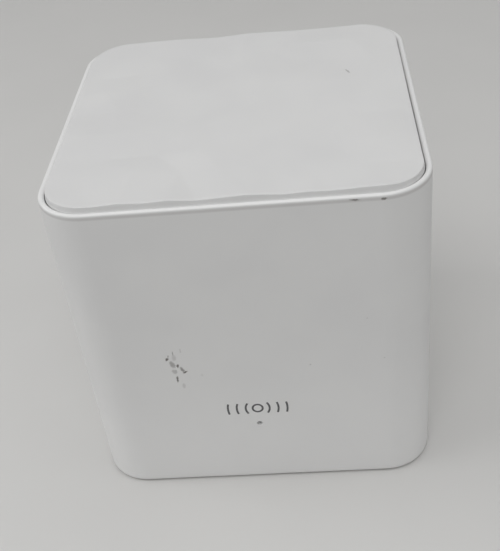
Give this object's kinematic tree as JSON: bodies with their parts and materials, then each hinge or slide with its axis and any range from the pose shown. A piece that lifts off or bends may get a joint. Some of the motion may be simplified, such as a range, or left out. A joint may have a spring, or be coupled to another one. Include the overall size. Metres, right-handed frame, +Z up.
{
  "type": "mesh wifi node",
  "caption": "Cube-shaped mesh wifi node: a white sleeve with a faceted top panel and a small front status light, and rear network sockets, power socket and recessed reset button.",
  "frame": {"origin": "on the table, under the middle of the cube, in the plane of the four feet's undersides", "axes": "+Z up; -Y is the front, with the status light; +Y is the rear, with the sockets; +X is the right side seen from the front"},
  "size_m": [0.09, 0.09, 0.0907],
  "materials": {
    "shell_plastic": "fine spark-eroded matte",
    "panel_plastic": "fine spark-eroded matte",
    "base_plastic": "matte",
    "frame_plastic": "matte",
    "bezel_plastic": "matte",
    "button_plastic": "matte",
    "label_film": "satin",
    "foot_rubber": "matte",
    "screw_steel": "satin",
    "socket_steel": "satin",
    "black_plastic": "satin",
    "chip_black": "matte",
    "contact_gold": "polished",
    "circuit_board": "solder mask",
    "lead_jacket": "satin",
    "sink_aluminium": "satin",
    "pin_plastic": "satin",
    "thermal_pad": "soft",
    "inductor_core": "matte",
    "clear_plastic": "clear"
  },
  "bodies": {
    "case": {"aerial_frame": "frame_plastic", "aerial_front": "circuit_board", "aerial_lead_front": "lead_jacket", "aerial_lead_left": "lead_jacket", "aerial_lead_rear": "lead_jacket", "aerial_lead_right": "lead_jacket", "aerial_left": "circuit_board", "aerial_rear": "circuit_board", "aerial_right": "circuit_board", "base_plate": "base_plastic", "base_screw_front_left": "screw_steel", "base_screw_front_right": "screw_steel", "base_screw_rear_left": "screw_steel", "base_screw_rear_right": "screw_steel", "board_screw_front_left": "screw_steel", "board_screw_front_right": "screw_steel", "board_screw_rear_left": "screw_steel", "board_screw_rear_right": "screw_steel", "capacitor_input": "sink_aluminium", "capacitor_output": "sink_aluminium", "capacitor_radio": "sink_aluminium", "crystal": "socket_steel", "flash_chip": "chip_black", "foot_front_left": "foot_rubber", "foot_front_right": "foot_rubber", "foot_rear_left": "foot_rubber", "foot_rear_right": "foot_rubber", "heat_sink": "sink_aluminium", "heat_sink_pin_1": "pin_plastic", "heat_sink_pin_2": "pin_plastic", "lan_jack_contacts": "contact_gold", "lan_jack_housing": "black_plastic", "lan_jack_shield": "socket_steel", "lan_transformer": "black_plastic", "light_pipe": "clear_plastic", "main_board": "circuit_board", "memory_chip": "chip_black", "outer_shell": "shell_plastic", "port_bezel": "bezel_plastic", "power_inductor": "inductor_core", "power_jack_body": "black_plastic", "power_jack_pin": "socket_steel", "power_jack_spring": "socket_steel", "processor": "chip_black", "radio_chip_2g": "chip_black", "radio_chip_5g": "chip_black", "radio_shield_2g": "socket_steel", "radio_shield_5g": "socket_steel", "rating_label": "label_film", "reset_switch_body": "socket_steel", "status_led": "clear_plastic", "thermal_pad": "thermal_pad", "top_panel": "panel_plastic", "wan_jack_contacts": "contact_gold", "wan_jack_housing": "black_plastic", "wan_jack_shield": "socket_steel", "wan_transformer": "black_plastic"},
    "button": {"reset_button": "button_plastic"},
    "plunger": {"reset_switch_plunger": "black_plastic"}
  },
  "joints": [
    {"name": "reset_press", "type": "slide", "parent": "case", "child": "button", "axis": [0, -1, 0], "range_m": [0, 0.0006], "stiffness_N_per_m": 800},
    {"name": "switch_press", "type": "slide", "parent": "case", "child": "plunger", "axis": [0, -1, 0], "range_m": [0, 0.0006]}
  ],
  "couplings": [
    {"joint": "switch_press", "follows": "reset_press", "ratio": 1}
  ]
}
